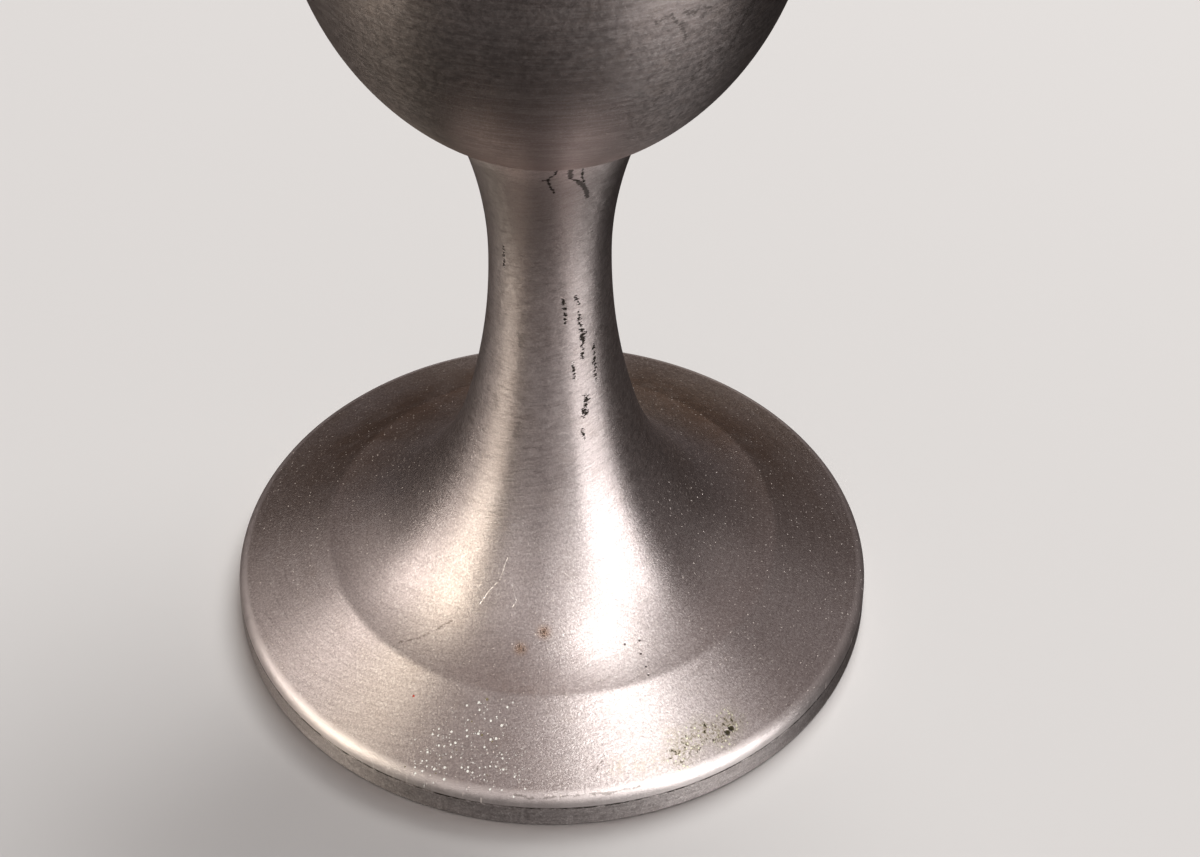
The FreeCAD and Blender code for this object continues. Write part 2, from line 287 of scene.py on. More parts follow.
def cup_shell():
    """The cup: outside up to the lip, over the rolled bead, and down the inside."""
    flat, wall_outside = bowl()
    outside = rounded([flat, wall_outside], [FLAT_REACH])
    inside = thinned(inset(np.vstack([flat, wall_outside[1:]]), WALL), INSIDE_STEP)[::-1]
    inside[-1] = (0.0, cup_low.z + WALL)
    bead_centre = np.array([LIP[0] - WALL / 2, LIP[1]])
    bead_start = math.acos(min(1.0, WALL / 2 / LIP_BEAD))
    angles = np.linspace(-bead_start, math.pi + bead_start, BEAD_POINTS)
    bead = bead_centre + LIP_BEAD * np.stack([np.cos(angles), np.sin(angles)], axis=1)
    low_end = bead[0][1] - SUPPORT
    outside = outside[(outside[:, 1] < low_end) | (outside[:, 0] < LIP[0] / 2)]
    inside = inside[inside[:, 1] < low_end]
    section = np.vstack([outside, bead, inside])
    return spun("cup_shell", section, "cup", closed=False)


def threaded_stud():
    """The M6 stud with its thread cut in it, chamfered at both ends."""
    radius, segments = stud_high.x, STUD_SEGMENTS
    length = stud_high.z - stud_low.z
    rows = math.ceil(length / THREAD_PITCH * ROWS_PER_TURN)
    points = []
    for row in range(rows + 1):
        height = length * row / rows
        limit = radius - max(0.0, STUD_CHAMFER - min(height, length - height))
        for j in range(segments):
            phase = (height / THREAD_PITCH - j / segments) % 1.0
            flank = min(1.0, max(0.0, (abs(phase - 0.5) * 2 - THREAD_CREST) / THREAD_FLANK))
            reach = min(limit, radius - THREAD_DEPTH * flank)
            angle = 2 * math.pi * j / segments
            points.append((reach * math.cos(angle), reach * math.sin(angle), stud_low.z + height))
    faces = []
    for row in range(rows):
        for j in range(segments):
            a, b = row * segments + j, row * segments + (j + 1) % segments
            faces.append((a, b, b + segments, a + segments))
    faces.append(tuple(range(segments))[::-1])
    faces.append(tuple(rows * segments + j for j in range(segments)))
    return piece("threaded_stud", points, faces, "tie_stud")


def solder_fillet():
    """The bead of solder in the corner between the hoop and the inside of the foot's sheet."""
    radius = FOOT_RADIUS - HOOP_THICKNESS + SOLDER_OFFSET[0]
    height = SEAM_HEIGHT + SOLDER_OFFSET[1]
    angles = np.linspace(0, 2 * math.pi, SOLDER_POINTS, endpoint=False)
    circle = np.stack([np.cos(angles), np.sin(angles)], axis=1)
    section = np.array([radius, height]) + np.array(SOLDER_SIZE) * circle
    return spun("solder_fillet", section, None, segments=SEGMENTS // 2)


# ---------------------------------------------------------------- materials
# Sockets of the Mix node: its first value, its second and its result.
MIX_NUMBERS, MIX_COLOURS = (2, 3, 0), (6, 7, 2)


class Graph:
    """A material's node tree, with short names for the nodes that it uses."""

    def __init__(self, name):
        self.material = bpy.data.materials.new(name)
        self.material.use_nodes = True
        self.tree = self.material.node_tree
        self.shader = self.tree.nodes["Principled BSDF"]

    def put(self, socket, value):
        """Sets a socket, or feeds it from another node's output."""
        if isinstance(value, bpy.types.NodeSocket):
            self.tree.links.new(value, socket)
        elif value is not None:
            socket.default_value = value

    def node(self, kind, *values, **settings):
        made = self.tree.nodes.new("ShaderNode" + kind)
        for key, value in settings.items():
            setattr(made, key, value)
        for socket, value in zip(made.inputs, values):
            self.put(socket, value)
        return made

    def math(self, operation, *values, clamp=False):
        return self.node("Math", *values, operation=operation, use_clamp=clamp).outputs[0]

    def vector(self, operation, *values):
        made = self.node("VectorMath", *values, operation=operation)
        scalar = operation in ("LENGTH", "DOT_PRODUCT", "DISTANCE")
        return made.outputs["Value" if scalar else "Vector"]

    def scaled(self, vector, factor):
        made = self.node("VectorMath", vector, operation="SCALE")
        self.put(made.inputs["Scale"], factor)
        return made.outputs["Vector"]

    def place(self):
        """The point's place on the chalice, in millimetres."""
        return self.scaled(self.node("TexCoord").outputs["Object"], 1 / MM)

    def noise(self, place, scale, detail=2.0, roughness=0.5, output=0):
        made = self.node("TexNoise")
        self.put(made.inputs["Vector"], place)
        self.put(made.inputs["Scale"], scale)
        self.put(made.inputs["Detail"], detail)
        self.put(made.inputs["Roughness"], roughness)
        return made.outputs[output]

    def specks(self, place, scale, chance, size):
        """Round dots scattered in plan: 1 inside, 0 outside. Chance is the share of cells with one."""
        made = self.node("TexVoronoi", voronoi_dimensions="2D")
        self.put(made.inputs["Vector"], place)
        self.put(made.inputs["Scale"], scale)
        lot = self.node("SeparateColor", made.outputs["Color"]).outputs
        reach = self.math("MULTIPLY", size * scale, self.math("ADD", 0.5, lot[1]))
        dot = self.math("LESS_THAN", made.outputs["Distance"], reach)
        return self.math("MULTIPLY", dot, self.math("LESS_THAN", lot[0], chance))

    def between(self, value, low, high, bottom=0.0, top=1.0):
        """A smooth step from bottom to top as value goes from low to high."""
        made = self.node("MapRange", value, low, high, bottom, top, interpolation_type="SMOOTHSTEP")
        return made.outputs[0]

    def colour(self, share, first, second):
        made = self.node("Mix", share, data_type="RGBA")
        a, b, result = MIX_COLOURS
        for socket, value in ((a, first), (b, second)):
            self.put(made.inputs[socket], (*value, 1.0) if isinstance(value, tuple) else value)
        return made.outputs[result]

    def blend(self, share, first, second):
        made = self.node("Mix", share, data_type="FLOAT")
        a, b, result = MIX_NUMBERS
        self.put(made.inputs[a], first)
        self.put(made.inputs[b], second)
        return made.outputs[result]

    def strokes(self, place, lines):
        """Distance in millimetres to the nearest of several lines of points on the surface."""
        nearest = None
        for line in lines:
            for start, end in zip(line, line[1:]):
                step = end - start
                off = self.vector("SUBTRACT", place, tuple(start))
                share = self.vector("DOT_PRODUCT", off, tuple(step / step.length_squared))
                share = self.math("ADD", share, 0.0, clamp=True)
                gap = self.vector("DISTANCE", off, self.scaled(tuple(step), share))
                nearest = gap if nearest is None else self.math("MINIMUM", nearest, gap)
        return nearest

    def attribute(self, name):
        return self.node("Attribute", attribute_name=name).outputs["Fac"]

    def bump(self, height, strength, distance):
        """The surface's normal, tilted by a height map; distance is the map's rise in metres."""
        made = self.node("Bump")
        self.put(made.inputs["Strength"], strength)
        self.put(made.inputs["Distance"], distance)
        self.put(made.inputs["Height"], height)
        return made.outputs[0]

    def set(self, **values):
        for name, value in values.items():
            self.put(self.shader.inputs[name.replace("_", " ")], value)


# Colours: the metal's own, then those of its finish, its age and the marks on it; some also paint
# shade or a highlight.
PEWTER = (0.58, 0.49, 0.475)
# The cup's pewter: PEWTER darkened to about half, as painted shade of the down-facing bowl.
SHADED_CUP_PEWTER = (0.29, 0.238, 0.226)
HOOP_PEWTER = (0.52, 0.445, 0.43)
# Brighter pewter for the foot's shoulder: partly wear, partly a painted highlight.
WORN_AND_HIGHLIT = (0.76, 0.665, 0.64)
PATINA = (0.38, 0.28, 0.225)
BROWNED = (0.29, 0.19, 0.14)
COPPERY = (0.34, 0.23, 0.205)
GLEAM = (0.69, 0.605, 0.58)
SALT = (0.90, 0.84, 0.80)
# A dull tone for grain and smudges; on the neck it is painted shade of the cup.
DULL_AND_SHADE = (0.26, 0.215, 0.20)
TARNISH = (0.035, 0.028, 0.024)
RUST = (0.38, 0.18, 0.07)
OLIVE = (0.32, 0.27, 0.165)
DARK_OLIVE = (0.075, 0.062, 0.035)
OCHRE = (0.50, 0.40, 0.26)
MINERAL = (0.80, 0.78, 0.72)
SCALE_SPECK = (0.76, 0.66, 0.60)
GLINT = (0.75, 0.70, 0.52)
RED_SPECK = (0.55, 0.05, 0.02)
SCRATCH = (0.95, 0.90, 0.84)
OLD_SCRATCH = (0.10, 0.07, 0.05)

IN_PLAN = (1.0, 1.0, 0.0)  # times a place, it leaves the height out

# Noise over the metal: how fine it is, its detail and its roughness.
CLOUDS = (0.05, 4.0, 0.6)
BLOTCHES = (0.25, 4.0, 0.65)
SALT_GRAIN = (3.0, 2.0, 0.8)
SAND = (1.1, 3.0, 0.75)
COARSE_LINES = (1.0, 3.0, 0.7)
FINE_LINES = (1.0, 2.0, 0.7)

FOOT_TO_STEM = (22.0, 42.0)  # between these heights the foot's finish gives way to the stem's
AGEING = (-18.0, 28.0, 0.1, 1.0)  # from front to back in Y, and how aged the metal is there
PEWTER_BUMP, STEEL_BUMP = (0.6, 0.000055), (0.3, 0.00003)  # strength, and rise in metres
BRUSHED_GLOSS, BRUSHED_TURN = 0.8, 0.25  # highlights are stretched, a quarter turn from the tangent
STAIN_DARKENS = 0.55

# Strokes: how fine and how wide their wavering is, and how fine the bites out of them, by axis.
WAVER_SCALE, WAVER_REACH = 0.7, 3
BITE_SCALE = (1.4, 1.4, 3.2)


def turned_place(graph, place, around, across, slant):
    """A place for lines round the axis: stretched round it, fine across it, a little slanted."""
    spoke = graph.vector("NORMALIZE", graph.vector("MULTIPLY", place, IN_PLAN))
    run = graph.math("MULTIPLY", graph.attribute("run"), across / MM)
    sideways = graph.node("SeparateXYZ", place).outputs[0]
    lean = graph.math("MULTIPLY_ADD", sideways, slant * across, run)
    rise = graph.node("CombineXYZ", 0.0, 0.0, lean).outputs[0]
    return graph.vector("ADD", graph.scaled(spoke, around), rise)


class Surface:
    """Pewter that marks are added to one by one: its colour, roughness, metal share and height.

    Grain and brushing are each given as a pair, for the foot and for what stands above it.
    """

    def __init__(self, name, grain, brushing, clouding=0.5, slant=0.0, base=PEWTER, rough=0.38):
        self.graph = graph = Graph(name)
        self.spot = place = graph.place()
        sides = graph.node("SeparateXYZ", place).outputs
        grain = graph.between(sides[2], *FOOT_TO_STEM, *grain)
        brushing = graph.between(sides[2], *FOOT_TO_STEM, *brushing)
        clouds = graph.noise(place, *CLOUDS)
        blotches = graph.noise(place, *BLOTCHES)
        salt = graph.noise(place, *SALT_GRAIN)
        sand = graph.noise(place, *SAND)
        wide = turned_place(graph, place, around=4.5, across=1.9, slant=slant)
        coarse = graph.noise(wide, *COARSE_LINES)
        narrow = turned_place(graph, place, around=14.0, across=5.0, slant=slant)
        fine = graph.noise(narrow, *FINE_LINES)

        def times(factor, value):
            return graph.math("MULTIPLY", value, factor)

        back = graph.between(sides[1], *AGEING)
        aged = graph.math("MULTIPLY", graph.between(clouds, 0.25, 0.6), back)
        self.colour = graph.colour(times(0.8, aged), base, PATINA)
        self.mark(graph.between(blotches, 0.48, 0.8, 0.0, 0.35 * clouding), PATINA)
        # The part of a noise that shows, with its strength at either end, and where it shows.
        for pattern, span, where, tint in (
            (coarse, (0.42, 0.62, 0.0, 0.30), brushing, GLEAM),
            (coarse, (0.50, 0.32, 0.0, 0.30), brushing, DULL_AND_SHADE),
            (salt, (0.50, 0.68, 0.0, 0.55), grain, SALT),
            (salt, (0.50, 0.34, 0.0, 0.50), grain, DULL_AND_SHADE),
        ):
            self.mark(times(graph.between(pattern, *span), where), tint)
        self.rough = graph.between(sand, 0.3, 0.7, rough - 0.03, rough + 0.05)
        self.metal = 1.0
        lines = graph.math("ADD", times(0.9, coarse), times(0.8, fine))
        grit = graph.math("ADD", times(1.1, salt), times(0.7, sand))
        self.height = graph.math("ADD", times(lines, brushing), times(grit, grain))

    def mark(self, mask, colour, rough=None, metal=None, rise=0.0, share=None):
        """Lays a stain, speck, pit, painted shade or painted highlight over the metal wherever mask is
        1, all of it or a share.
        """
        graph = self.graph
        if share is not None:
            mask = graph.math("MULTIPLY", mask, share)
        self.colour = graph.colour(mask, self.colour, colour)
        if rough is not None:
            self.rough = graph.blend(mask, self.rough, rough)
        if metal is not None:
            self.metal = graph.blend(mask, self.metal, metal)
        if rise:
            self.height = graph.math("MULTIPLY_ADD", mask, rise, self.height)

    def drawn(self, lines, width, ragged, warp, soft):
        """A mask of strokes with a wavering path; ragged breaks them up, from 0 to about 2."""
        graph = self.graph
        swirl = graph.noise(self.spot, WAVER_SCALE, output=1)
        shift = graph.vector("SUBTRACT", swirl, (0.5, 0.5, 0.5))
        place = graph.vector("ADD", self.spot, graph.scaled(shift, warp * WAVER_REACH))
        level = graph.vector("MULTIPLY", self.spot, BITE_SCALE)
        bites = graph.between(graph.noise(level, 1.0, 2.0, 0.7), 0.32, 0.68, -1.0, 1.0)
        reach = graph.math("MULTIPLY_ADD", bites, ragged * width, width)
        gap = graph.math("SUBTRACT", graph.strokes(place, lines), reach)
        return graph.between(gap, soft, -soft)

    def patch(self, centres, radius, soft):
        """A mask of soft round areas about centres."""
        graph = self.graph
        gap = None
        for centre in centres:
            found = graph.vector("DISTANCE", self.spot, tuple(centre))
            gap = found if gap is None else graph.math("MINIMUM", gap, found)
        return graph.between(gap, radius + soft, radius - soft)

    def finish(self):
        graph = self.graph
        normal = graph.bump(self.height, *PEWTER_BUMP)
        tangent = graph.node("Tangent", direction_type="RADIAL", axis="Z").outputs[0]
        graph.set(
            Base_Color=self.colour,
            Metallic=self.metal,
            Roughness=self.rough,
            Anisotropic=BRUSHED_GLOSS,
            Anisotropic_Rotation=BRUSHED_TURN,
            Tangent=tangent,
            Normal=normal,
        )
        return graph.material


# ---------------------------------------------------------------- marks, placed on the surface
def at(azimuth, radius, height):
    """A place on the chalice, with its azimuth in degrees."""
    angle = math.radians(azimuth)
    return Vector((radius * math.sin(angle), -radius * math.cos(angle), height))


def on_upright(section, *spots):
    """Places on a rising section, from pairs of azimuth and height."""
    radii, heights = section[np.argsort(section[:, 1])].T
    return [at(azimuth, float(np.interp(height, heights, radii)), height) for azimuth, height in spots]


def on_foot(*spots):
    """Places on top of the foot, from pairs of azimuth and radius."""
    line = np.vstack(trumpet())
    line = line[(line[:, 0] > SHANK[0]) & (line[:, 1] < SHANK[1])]
    radii, heights = line[np.argsort(line[:, 0], kind="stable")].T
    return [at(azimuth, radius, float(np.interp(radius, radii, heights))) for azimuth, radius in spots]


def cup_metal():
    """Pewter darkened as painted shade, brushed round, brown at the bottom, with branching tarnish on
    the right and a few smudges.
    """
    surface = Surface(
        "pewter_cup", grain=(0.2, 0.2), brushing=(0.55, 0.55), base=SHADED_CUP_PEWTER, rough=0.37
    )
    graph = surface.graph
    _, side = bowl()
    height = graph.node("SeparateXYZ", surface.spot).outputs[2]
    brown_to, brown_from = cup_low.z + 16.0, cup_low.z + 3.0
    surface.mark(graph.between(height, brown_to, brown_from, 0.0, 0.6), COPPERY)
    branches = [
        on_upright(side, (22, 136.2), (25, 136.6), (28, 134.4), (29, 132.4)),
        on_upright(side, (28, 136.4), (34.5, 135.6), (32.5, 134.8)),
        on_upright(side, (48.7, 136), (47.5, 133), (45.3, 132), (44, 129.3), (42.5, 126.8), (41, 125)),
        on_upright(side, (39.6, 127.3), (36.7, 127.5)),
        on_upright(side, (34.4, 126.4), (34.5, 125), (33.2, 124.1), (33, 123)),
        on_upright(side, (25.4, 123), (24.8, 122), (24, 121)),
    ]
    tarnished = surface.drawn(branches, width=0.30, ragged=0.9, warp=0.5, soft=0.28)
    surface.mark(tarnished, TARNISH, rough=0.5, share=0.72)
    smudges = [
        on_upright(side, (14, 131.6), (13.5, 128.7), (14, 124.8)),
        on_upright(side, (17, 127), (20, 126)),
        on_upright(side, (-49.4, 122.8), (-49, 122)),
        on_upright(side, (-20, 113), (-12, 112)),
    ]
    stained = surface.drawn(smudges, width=0.9, ragged=1.0, warp=0.8, soft=0.8)
    surface.mark(stained, DULL_AND_SHADE, rough=0.45, share=0.42)
    return surface.finish()


def joint_dirt(surface):
    """Dirt lodged in the joint between the foot's sheet and the hoop, thicker in places."""
    graph = surface.graph
    off = graph.math("SUBTRACT", graph.node("SeparateXYZ", surface.spot).outputs[2], SEAM_HEIGHT)
    line = graph.between(graph.math("ABSOLUTE", off), 0.26, 0.10)
    spread = graph.between(graph.noise(surface.spot, 0.5, 3.0, 0.7), 0.35, 0.6, 0.4, 1.0)
    surface.mark(line, TARNISH, rough=0.6, share=spread)


def shoulder_wear_and_highlight(surface):
    """The foot's rounded shoulder, brighter than the rest: partly worn, partly a painted highlight."""
    graph = surface.graph
    sides = graph.node("SeparateXYZ", surface.spot).outputs
    flat = graph.vector("LENGTH", graph.vector("MULTIPLY", surface.spot, IN_PLAN))
    shoulder = graph.between(flat, SHOULDER[0] - 0.5, SHOULDER[0] + 0.1)
    above = graph.between(sides[2], SEAM_HEIGHT + 0.05, SEAM_HEIGHT + 0.35)
    wear_and_highlight_share = graph.between(graph.noise(surface.spot, 0.35, 3.0, 0.7), 0.30, 0.60, 0.65, 1.0)
    edge = graph.math("MULTIPLY", shoulder, above)
    surface.mark(edge, WORN_AND_HIGHLIT, rough=0.48, share=wear_and_highlight_share)


def foot_marks(surface):
    """Specks of scale, one corroded patch, spots of rust and a few scratches on top of the foot."""
    graph, spot = surface.graph, surface.spot
    open_foot = graph.between(graph.node("SeparateXYZ", spot).outputs[2], 34.0, 20.0)

    # Browner and darker over the back half, most along the crease.
    flat = graph.vector("LENGTH", graph.vector("MULTIPLY", spot, IN_PLAN))
    off_crease = graph.math("ABSOLUTE", graph.math("SUBTRACT", flat, CREASE[0] + 1.2))
    streaky = graph.between(graph.noise(spot, 0.14, 4.0, 0.65), 0.34, 0.60, 0.4, 1.0)
    behind = graph.between(graph.node("SeparateXYZ", spot).outputs[1], 2.0, 22.0, 0.0, streaky)
    browned = graph.math("MULTIPLY", behind, graph.between(off_crease, 12.0, 0.5, 0.0, 0.85))
    surface.mark(browned, BROWNED)

    scatter = graph.specks(spot, scale=1.1, chance=0.17, size=0.068)
    surface.mark(scatter, SCALE_SPECK, rough=0.5, metal=0.4, rise=1.0, share=open_foot)
    dust = graph.math("MULTIPLY", graph.specks(spot, scale=1.9, chance=0.20, size=0.07), open_foot)
    surface.mark(dust, SCALE_SPECK, rough=0.5, metal=0.6, share=0.5)

    crusted = on_foot((-14, 45), (-20, 43.5), (-9, 46), (-22, 47.5), (-15, 40.5))
    crust = surface.patch(crusted, radius=2.6, soft=3.6)
    crumbs = graph.specks(spot, scale=1.15, chance=graph.math("MULTIPLY", crust, 0.55), size=0.13)
    surface.mark(crumbs, MINERAL, rough=0.6, metal=0.25, rise=2.5)
    flecks = graph.specks(spot, scale=2.1, chance=graph.math("MULTIPLY", crust, 0.34), size=0.07)
    surface.mark(flecks, MINERAL, rough=0.6, metal=0.4, rise=1.5, share=0.8)
    pocks = graph.specks(spot, scale=1.3, chance=graph.math("MULTIPLY", crust, 0.05), size=0.15)
    surface.mark(pocks, OLIVE, rough=0.7, metal=0.8, rise=-2.0)

    corroded = on_foot((27, 45.6), (33, 46.2), (30, 44.8), (36, 45.5), (24, 46.4))
    spread = surface.patch(corroded, radius=1.6, soft=2.2)
    bite = graph.noise(spot, 1.6, 3.0, 0.8)
    discoloured = on_foot((12, 46), (16, 46.6), (19, 46.4), (24, 43.5))
    faint = surface.patch(discoloured, radius=0.8, soft=2.0)
    surface.mark(faint, OCHRE, rough=0.5, share=graph.between(bite, 0.44, 0.58, 0.0, 0.55))
    stain = graph.math("MULTIPLY", spread, graph.between(bite, 0.40, 0.56))
    surface.mark(stain, OLIVE, rough=0.5, share=0.85)
    middle = graph.between(spread, 0.3, 0.6)
    surface.mark(middle, DARK_OLIVE, rough=0.7, rise=-5.0, share=graph.between(bite, 0.59, 0.65))
    glints = graph.specks(spot, scale=1.7, chance=graph.math("MULTIPLY", spread, 0.46), size=0.12)
    surface.mark(glints, GLINT, rough=0.45, metal=0.6, rise=2.0)
    big_hole = surface.patch(on_foot((34.5, 46.5), (35.6, 46.2)), radius=0.40, soft=0.18)
    surface.mark(big_hole, DARK_OLIVE, rough=0.7, rise=-5.0)

    pepper = graph.between(graph.noise(spot, 3.4, 2.0, 0.8), 0.50, 0.58)
    rusty = surface.patch(on_foot((-3, 26.3), (-10, 28.6)), radius=0.8, soft=0.9)
    surface.mark(rusty, RUST, rough=0.45, share=0.6)
    rust_core = graph.between(rusty, 0.2, 0.7, 0.0, 0.75)
    surface.mark(rust_core, TARNISH, rough=0.6, rise=-2.0, share=pepper)
    pinholes = on_foot((22, 29.2), (26.7, 29.4), (25.4, 31.2), (25.1, 33.3), (24.6, 34.7))
    surface.mark(surface.patch(pinholes, radius=0.12, soft=0.14), TARNISH, rough=0.6, rise=-3.0)
    surface.mark(surface.patch(on_foot((-32.4, 39.5)), radius=0.18, soft=0.1), RED_SPECK, rough=0.5)

    scratches = [
        on_foot((-20.5, 19.4), (-21.8, 21.5), (-25.5, 23.1), (-27, 24.5)),
        on_foot((-16.4, 21.7), (-13.8, 23.2), (-14.8, 23.9)),
    ]
    bright = surface.drawn(scratches, width=0.035, ragged=0.5, warp=0.12, soft=0.06)
    surface.mark(bright, SCRATCH, rough=0.3, metal=0.7, rise=-1.0, share=0.9)
    ticks = [
        on_foot((-43.8, 35.3), (-43.3, 33.9), (-41.2, 32.5), (-38.3, 30.6), (-34, 27.5)),
        on_foot((9.8, 44), (9.2, 44.9), (8, 45.9)),
        on_foot((-8, 49.4), (-3, 49.6), (2, 49.4), (9, 49.5), (15, 49.3)),
    ]
    dark = surface.drawn(ticks, width=0.11, ragged=1.3, warp=0.2, soft=0.12)
    surface.mark(dark, OLD_SCRATCH, rough=0.5, share=0.5)


def stem_marks(surface):
    """Tarnish drips under the cup, and columns of pits down the right of the stem's front."""
    graph = surface.graph
    _, side = trumpet()
    height = graph.node("SeparateXYZ", surface.spot).outputs[2]
    # The neck is darker up to just below the cup: painted shade of the cup above it.
    cup_shade_share = graph.between(height, 66.0, 86.0, 0.0, 0.6)
    surface.mark(graph.between(height, 97.5, 91.5, 0.0, cup_shade_share), DULL_AND_SHADE)
    drips = [
        on_upright(side, (11.5, 98.5), (12.5, 94.9)),
        on_upright(side, (18, 93.6), (22, 92.4), (25.7, 90.8), (27.6, 89.2)),
    ]
    dripped = surface.drawn(drips, width=0.36, ragged=0.35, warp=0.10, soft=0.12)
    surface.mark(dripped, TARNISH, rough=0.42, share=0.8)
    trickles = [
        on_upright(side, (12.5, 94.6), (18, 93.8)),
        on_upright(side, (19.4, 98), (19.8, 95.4), (22, 93)),
        on_upright(side, (5, 98), (3, 96), (-1, 94.8), (0, 93.4), (3, 91.5)),
        on_upright(side, (-4, 94.6), (0, 94.6)),
    ]
    trickled = surface.drawn(trickles, width=0.14, ragged=1.0, warp=0.15, soft=0.10)
    surface.mark(trickled, TARNISH, rough=0.5)
    pits = [
        on_upright(side, (24, 69), (27, 67.2)),
        on_upright(side, (26.5, 65.8), (27, 64), (28.8, 62.4), (29.3, 59.6), (28.7, 57.2)),
        on_upright(side, (11, 69), (12.5, 66.5), (13.4, 64.4)),
        on_upright(side, (42, 58.7), (40, 56.9), (39.8, 54.1), (39.9, 52.3)),
        on_upright(side, (19.5, 56.5), (20, 53.8)),
        on_upright(side, (23.4, 44.7), (24.4, 43.4)),
        on_upright(side, (-46, 77), (-47, 72.4)),
    ]
    pitted = surface.drawn(pits, width=0.12, ragged=2.6, warp=0.22, soft=0.06)
    surface.mark(pitted, TARNISH, rough=0.6, rise=-3.0)
    blobs = [
        on_upright(side, (29.3, 62), (30.5, 60.6)),
        on_upright(side, (28.4, 50.2), (29.6, 49.4), (28.4, 48.6)),
        on_upright(side, (26.6, 47.9), (26.2, 47.3)),
    ]
    eaten = surface.drawn(blobs, width=0.34, ragged=1.0, warp=0.3, soft=0.06)
    surface.mark(eaten, TARNISH, rough=0.6, rise=-4.0)
    shadows = [
        on_upright(side, (-28, 61.4), (-26.6, 59.7)),
        on_upright(side, (-48.6, 48.4), (-46, 47)),
        on_upright(side, (-24.6, 45.4), (-25.8, 43.3)),
    ]
    faint = surface.drawn(shadows, width=0.45, ragged=1.0, warp=0.4, soft=0.35)
    surface.mark(faint, DULL_AND_SHADE, rough=0.45, share=0.5)


def stem_metal():
    """Grainy on the foot and brushed on the stem, with every mark that the two carry, a painted
    highlight on the shoulder and painted shade on the neck.
    """
    surface = Surface(
        "pewter_stem",
        grain=(0.8, 0.45),
        brushing=(0.55, 1.1),
        clouding=0.6,
        slant=-0.30,
        rough=0.41,
    )
    shoulder_wear_and_highlight(surface)
    foot_marks(surface)
    stem_marks(surface)
    joint_dirt(surface)
    return surface.finish()


def hoop_metal():
    surface = Surface(
        "pewter_hoop", grain=(0.8, 0.8), brushing=(0.8, 0.8), base=HOOP_PEWTER, rough=0.44
    )
    joint_dirt(surface)
    return surface.finish()


def turned_metal(name, colour, rough, line_scale):
    """Turned metal with fine lines across its axis and a little staining."""
    graph = Graph(name)
    place = graph.place()
    stains = graph.noise(place, 0.32, 4.0, 0.6)
    lines = graph.noise(graph.vector("MULTIPLY", place, (0.3, 0.3, line_scale)), 1.0, 2.0)
    normal = graph.bump(lines, *STEEL_BUMP)
    darker = tuple(part * STAIN_DARKENS for part in colour)
    graph.set(
        Base_Color=graph.colour(graph.between(stains, 0.45, 0.75), colour, darker),
        Metallic=1.0,
        Roughness=graph.between(stains, 0.3, 0.8, rough, rough + 0.2),
        Normal=normal,
    )
    return graph.material


# ---------------------------------------------------------------- the chalice
cup = cup_shell()
stem = stem_and_foot_shell()
hoop = rim_hoop_shell()
stud = threaded_stud()
fillet = solder_fillet()

cup.data.materials.append(cup_metal())
stem.data.materials.append(stem_metal())
hoop.data.materials.append(hoop_metal())
solder = Surface("pewter_solder", grain=(0.6, 0.6), brushing=(0.0, 0.0), rough=0.45)
fillet.data.materials.append(solder.finish())
stud.data.materials.append(turned_metal("steel_stud", (0.50, 0.50, 0.51), 0.32, 0.3))

# Each CAD node that is shown as it is: its material's name, colour, roughness and line scale.
NODE_LOOKS = {
    "cup_boss": ("boss_metal", PEWTER, 0.4, 6.0),
    "clamp_washer": ("washer_metal", (0.46, 0.46, 0.47), 0.35, 5.0),
    "lock_washer": ("spring_metal", (0.34, 0.34, 0.35), 0.38, 2.0),
    "clamp_nut": ("nut_metal", (0.52, 0.52, 0.53), 0.3, 2.5),
}
for node_name, look in NODE_LOOKS.items():
    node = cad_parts[node_name]
    node.data.materials.clear()
    node.data.materials.append(turned_metal(*look))


# ---------------------------------------------------------------- floor, light and camera
FLOOR_REACH, FLOOR_COLOUR = 4.0, (0.62, 0.61, 0.60)
LIT_POINT = Vector((0.0, 0.0, 0.04))

# The surroundings' colour by the direction's height: dark below, dim walls and a soft ceiling.
SURROUNDINGS = (
    (-0.10, (0.015, 0.014, 0.014)),
    (0.08, (0.108, 0.097, 0.095)),
    (0.60, (0.108, 0.097, 0.095)),
    (0.80, (0.345, 0.31, 0.305)),
)

# The lamps for the metal, all at one distance: azimuth, elevation, size, power and colour.
SOFTBOX_DISTANCE = 0.9
SOFTBOXES = (
    ("low_right", 50.0, 10.0, (0.64, 0.34), 5.6, (0.96, 0.99, 1.0)),
    ("high_right", 38.0, 58.0, (0.34, 0.34), 3.5, (0.95, 1.0, 1.0)),
    ("right_back", 116.0, 28.0, (0.40, 0.40), 0.12, (1.0, 1.0, 1.0)),
    ("front", 8.0, 30.0, (0.50, 0.70), 1.2, (1.0, 0.98, 0.98)),
    ("front_left", -30.0, 25.0, (0.40, 0.40), 0.8, (1.0, 0.99, 0.98)),
    ("low_left", -68.0, 7.0, (0.40, 0.40), 1.7, (1.0, 0.97, 0.87)),
    ("high_left", -70.0, 35.0, (0.30, 0.30), 1.7, (1.0, 0.97, 0.80)),
    ("left", -95.0, 25.0, (0.34, 0.34), 1.9, (1.0, 0.97, 0.92)),
    ("left_back", -125.0, 28.0, (0.40, 0.40), 0.32, (1.0, 0.96, 0.92)),
)

# The lamp for the floor, given in the same way.
FLOOR_WASH = ("floor_wash", 150.0, 60.0, (1.6, 1.6), 74.0, (1.0, 0.99, 0.98))
WASH_DISTANCE = 2.4

EYE_DISTANCE, EYE_ELEVATION = 0.5, 47.0
AIM = (7.72, 10.4, 24.27)
LENS, SENSOR, ROLL = 92.67, 36.0, 0.45


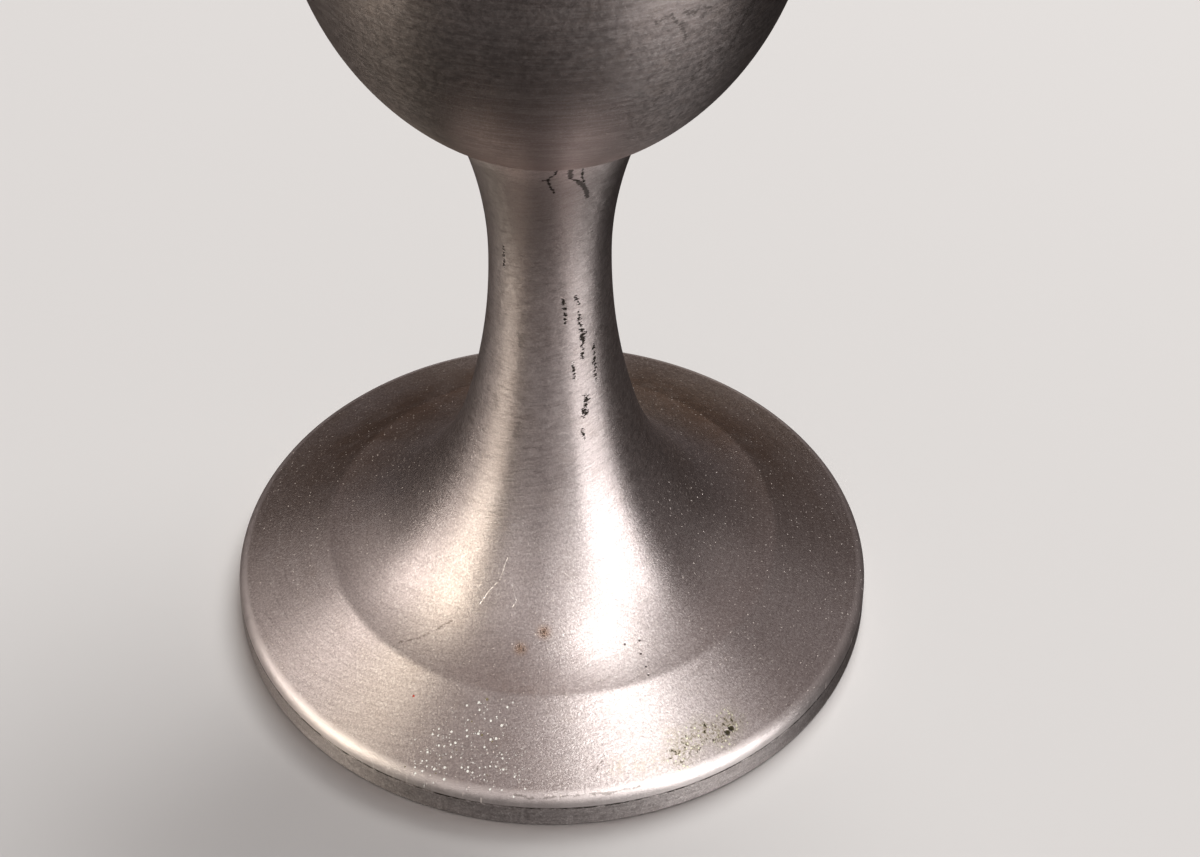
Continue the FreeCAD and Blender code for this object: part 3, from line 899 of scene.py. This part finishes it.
def make_floor():
    mesh = bpy.data.meshes.new("floor")
    reach = FLOOR_REACH
    corners = [(-reach, -reach, 0), (reach, -reach, 0), (reach, reach, 0), (-reach, reach, 0)]
    mesh.from_pydata(corners, [], [(0, 1, 2, 3)])
    floor = bpy.data.objects.new("floor", mesh)
    bpy.context.scene.collection.objects.link(floor)
    graph = Graph("floor_card")
    graph.set(Base_Color=(*FLOOR_COLOUR, 1.0), Roughness=0.8)
    mesh.materials.append(graph.material)
    floor.visible_glossy = False  # the metal mirrors the softboxes only
    return floor


def make_light(name, azimuth, elevation, size, power, colour, distance=SOFTBOX_DISTANCE):
    """A softbox that looks at the chalice from an azimuth and an elevation."""
    lamp = bpy.data.lights.new(name, "AREA")
    lamp.shape = "RECTANGLE"
    lamp.size, lamp.size_y = size
    lamp.energy = power
    lamp.color = colour
    obj = bpy.data.objects.new(name, lamp)
    a, e = math.radians(azimuth), math.radians(elevation)
    away = Vector((math.cos(e) * math.sin(a), -math.cos(e) * math.cos(a), math.sin(e)))
    obj.location = LIT_POINT + away * distance
    obj.rotation_mode = "QUATERNION"
    obj.rotation_quaternion = (-away).to_track_quat("-Z", "Y")
    bpy.context.scene.collection.objects.link(obj)
    return obj


def lit_objects(name, named, state):
    """A list for a lamp: it lights only the named object, or everything but that one."""
    lit = bpy.data.collections.new(name)
    lit.objects.link(named)
    lit.collection_objects[0].light_linking.link_state = state
    return lit


def make_world():
    """The room that the metal mirrors: a ramp of colours from straight down to straight up."""
    world = bpy.data.worlds.new("studio")
    world.use_nodes = True
    tree = world.node_tree
    height = tree.nodes.new("ShaderNodeSeparateXYZ")
    ramp = tree.nodes.new("ShaderNodeValToRGB")
    place = tree.nodes.new("ShaderNodeTexCoord")
    share = tree.nodes.new("ShaderNodeMapRange")
    tree.links.new(place.outputs["Generated"], height.inputs[0])
    tree.links.new(height.outputs[2], share.inputs["Value"])
    share.inputs["From Min"].default_value = -1.0
    tree.links.new(share.outputs[0], ramp.inputs[0])
    tree.links.new(ramp.outputs[0], tree.nodes["Background"].inputs[0])
    stops = ramp.color_ramp.elements
    while len(stops) < len(SURROUNDINGS):
        stops.new(0.5)  # they get their places below
    for stop, (rise, colour) in zip(stops, SURROUNDINGS):
        stop.position = (rise + 1) / 2
        stop.color = (*colour, 1.0)
    bpy.context.scene.world = world


def make_camera():
    """The camera looks down at the foot, so that the cup's lip is out of the picture."""
    data = bpy.data.cameras.new("camera")
    data.lens, data.sensor_width = LENS, SENSOR
    camera = bpy.data.objects.new("camera", data)
    elevation = math.radians(EYE_ELEVATION)
    camera.location = Vector((0.0, -math.cos(elevation), math.sin(elevation))) * EYE_DISTANCE
    level = (Vector(AIM) * MM - camera.location).to_track_quat("-Z", "Y")
    camera.rotation_mode = "QUATERNION"
    camera.rotation_quaternion = level @ Quaternion((0, 0, 1), math.radians(ROLL))
    bpy.context.scene.collection.objects.link(camera)
    bpy.context.scene.camera = camera


floor = make_floor()
all_but_floor = lit_objects("all_but_floor", floor, "EXCLUDE")
for softbox in SOFTBOXES:
    make_light(*softbox).light_linking.receiver_collection = all_but_floor
wash = make_light(*FLOOR_WASH, distance=WASH_DISTANCE)
wash.visible_glossy = False
wash.light_linking.receiver_collection = lit_objects("floor_only", floor, "INCLUDE")
make_world()
bpy.context.scene.view_settings.view_transform = "Standard"
make_camera()
